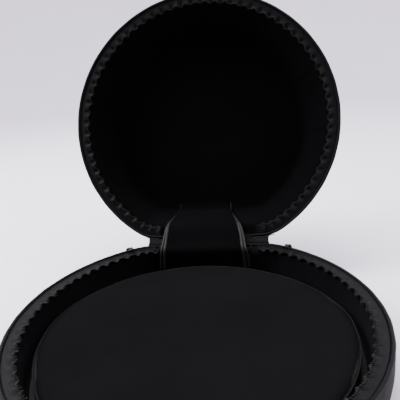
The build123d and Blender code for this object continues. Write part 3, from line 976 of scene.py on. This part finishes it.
def gripPiece():
    # A turned sleeve with rounded ends and grooves 4.2 mm apart.
    x = np.linspace(-handle["gripHalf"], handle["gripHalf"], 161)
    end = np.clip((handle["gripHalf"] - np.abs(x)) / (3 * mm), 0, 1)
    grooves = 0.35 * mm * np.abs(np.sin(x / (4.2 * mm) * math.pi)) ** 0.6 * end
    r = (5.4 + 2.4 * np.sin(end * math.pi / 2)) * mm - grooves
    return lathe("handleGrip", (0, handle["gripY"], handle["z"]), x, r)


def eyePiece(side):
    # The strap's end, folded round the pin and sewn.
    x = np.linspace(-handle["eye"], handle["eye"], 17)
    r = 4.7 * mm * (1 - np.abs(x / handle["eye"]) ** 8 * 0.12)
    centre = (side * (handle["half"] - 2.5 * mm), handle["axisY"], handle["z"])
    return lathe("eye", centre, x, r, 28)


strap = joinPieces("handleStrap", [strapPiece(), eyePiece(-1), eyePiece(1)])
dress(strap, "webbing", "handle", ("handle_webbing",))
dress(gripPiece(), "grip", "handle", ("handle_grip",))

patch = dict(low=200.2 * mm, thick=2.1 * mm)


def patchPiece(name):
    # A square of webbing sewn to the round wall, its edges turned down and its corners softened.
    low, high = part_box("handle_patch_" + name.lower())
    cx, half = (low[0] + high[0]) / 2, (high[0] - low[0]) / 2
    f = np.linspace(-1, 1, 36)
    x = cx + half * f[:, None] * np.ones(36)[None]
    z = handle["z"] + half * f[None] * np.ones(36)[:, None]
    edge = 1 - np.maximum(np.abs(f)[:, None], np.abs(f)[None]) ** 12
    radius = patch["low"] + patch["thick"] * (0.35 + 0.65 * edge)
    y = -np.sqrt(radius ** 2 - x ** 2)
    return thicken(gridPiece("handlePatch" + name, np.stack([x, y, z], -1)), patch["thick"] * 0.35, -1.0)


def boxStitch(name):
    # The box-and-cross seam of a sewn patch, set on the round wall.
    low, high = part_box("handle_patch_" + name.lower())
    cx, half = (low[0] + high[0]) / 2, (high[0] - low[0]) / 2 - 3.2 * mm
    corners = np.array([(-1, -1), (1, -1), (1, 1), (-1, 1), (-1, -1), (1, 1), (1, -1), (-1, 1)]) * half
    points, heads = [], []
    for a, b in zip(corners[:-1], corners[1:]):
        count = max(2, int(np.linalg.norm(b - a) / (3.0 * mm)))
        f = (np.arange(count) + 0.5) / count
        points.append(a + (b - a) * f[:, None])
        heads.append(np.broadcast_to((b - a) / np.linalg.norm(b - a), (count, 2)))
    p, d = np.concatenate(points), np.concatenate(heads)
    radius = patch["low"] + patch["thick"]
    x = cx + p[:, 0]
    start = np.stack([x, -np.sqrt(radius ** 2 - x ** 2), handle["z"] + p[:, 1]], -1)
    out = np.stack([x / radius, -np.sqrt(1 - (x / radius) ** 2), np.zeros(len(x))], -1)
    ahead = np.stack([d[:, 0] * -out[:, 1], d[:, 0] * out[:, 0], d[:, 1]], -1)
    ahead /= np.linalg.norm(ahead, axis=1, keepdims=True)
    return stitches("handlePatchStitching" + name, start, ahead, out, 2.2 * mm, 0.5 * mm)


for name in ("Left", "Right"):
    dress(patchPiece(name), "webbing", "base", ("handle_patch_" + name.lower(),))
    dress(boxStitch(name), "thread", "base")
print("handle ready")


kept = dict(foam=("base_floor_foam", "base_wall_foam", "lid_wall_foam", "lid_top_foam", "floor_pad_foam"),
            board=("base_stiffener_board",), handlePlastic=("handle_lug_left", "handle_lug_right"),
            zipMetal=("slider_left", "slider_right", "puller_left", "puller_right"),
            pinSteel=("handle_pin_left", "handle_pin_right"))
for look, nodes in kept.items():
    for node in nodes:
        for slot in frame["nodes"][node].material_slots:
            slot.material = looks[look]


studio = dict(reach=3.2, bend=1.2, rise=2.6, around=96, color=(0.72, 0.685, 0.77),
              darkPaper=(0.69, 0.655, 0.74), lightPaper=(0.73, 0.695, 0.78), world=(0.985, 0.97, 1.0),
              worldLight=2.85)


def cyclorama():
    # Pale floor that curves up into a wall all round: a quarter circle between them, turned about Z.
    a = np.linspace(0, 2 * math.pi, studio["around"], endpoint=False)
    bend = np.linspace(0, math.pi / 2, 14)
    reach, radius = studio["reach"], studio["bend"]
    r = np.concatenate([[0.002, 0.8, 1.8], reach + radius * np.sin(bend), [reach + radius]])
    z = np.concatenate([[0, 0, 0], radius * (1 - np.cos(bend)), [studio["rise"]]])
    grid = np.stack([r[None] * np.cos(a)[:, None], r[None] * np.sin(a)[:, None],
                     np.broadcast_to(z[None], (studio["around"], len(z)))], -1)
    return gridPiece("studioFloor", grid, True, False)


floor = cyclorama()
paper = Finish("paper", studio["color"], 0.8)
paper.shades(paper.noise(2.0, 2.0), studio["darkPaper"], studio["lightPaper"])
floor.data.materials.append(paper.material)

dark = dict(wide=1.9, low=0.05, high=1.7, y=-0.95, curve=0.5)


def darkSide():
    # Black curtain behind the camera, bowed round the table, so that less light comes from the front.
    x = np.linspace(-dark["wide"], dark["wide"], 25)[:, None]
    z = np.linspace(dark["low"], dark["high"], 5)[None]
    y = dark["y"] + dark["curve"] * (x / dark["wide"]) ** 2
    grid = np.stack(np.broadcast_arrays(x, y, z), -1)
    return gridPiece("darkCurtain", grid)


curtain = darkSide()
curtain.data.materials.append(Finish("curtain", (0.01, 0.01, 0.011), 0.9).material)

world = bpy.data.worlds.new("soft room")
bpy.context.scene.world = world
world.use_nodes = True
world.node_tree.nodes["Background"].inputs["Color"].default_value = (*studio["world"], 1)
world.node_tree.nodes["Background"].inputs["Strength"].default_value = studio["worldLight"]

lamps = dict(
    above=dict(place=(-0.35, 0.55, 1.9), aim=(0, 0.0, 0.1), size=1.4, power=56),
    left=dict(place=(-1.5, 0.0, 1.5), aim=(0.1, 0.2, 0.1), size=0.8, power=56),
    right=dict(place=(1.6, -0.2, 1.0), aim=(0, 0.1, 0.15), size=1.1, power=14),
)
for name, lamp in lamps.items():
    data = bpy.data.lights.new(name, "AREA")
    data.shape, data.size, data.energy = "DISK", lamp["size"], lamp["power"]
    light = bpy.data.objects.new(name, data)
    bpy.context.scene.collection.objects.link(light)
    direction = np.array(lamp["aim"]) - np.array(lamp["place"])
    light.location = lamp["place"]
    light.rotation_euler = Vector(direction).to_track_quat("-Z", "Y").to_euler()

view = dict(place=(63.7 * mm, -405.9 * mm, rimZ + 252.1 * mm), yaw=0.1208, pitch=0.3046, roll=-0.0701,
            lens=38.7)


def placeCamera():
    # Camera axes from yaw, downward pitch and roll.
    yaw, pitch, roll = view["yaw"], view["pitch"], view["roll"]
    right = np.array([math.cos(yaw), math.sin(yaw), 0])
    ahead = np.array([-math.sin(yaw) * math.cos(pitch), math.cos(yaw) * math.cos(pitch), -math.sin(pitch)])
    up = np.cross(right, ahead)
    x = right * math.cos(roll) + up * math.sin(roll)
    y = up * math.cos(roll) - right * math.sin(roll)
    camera = bpy.data.objects.new("camera", bpy.data.cameras.new("camera"))
    bpy.context.scene.collection.objects.link(camera)
    m = np.eye(4)
    m[:3, 0], m[:3, 1], m[:3, 2], m[:3, 3] = x, y, -ahead, view["place"]
    camera.matrix_world = Matrix(m.tolist())
    camera.data.lens, camera.data.sensor_width = view["lens"], 36
    camera.data.clip_start = 0.01
    bpy.context.scene.camera = camera


placeCamera()
print("camera ready")
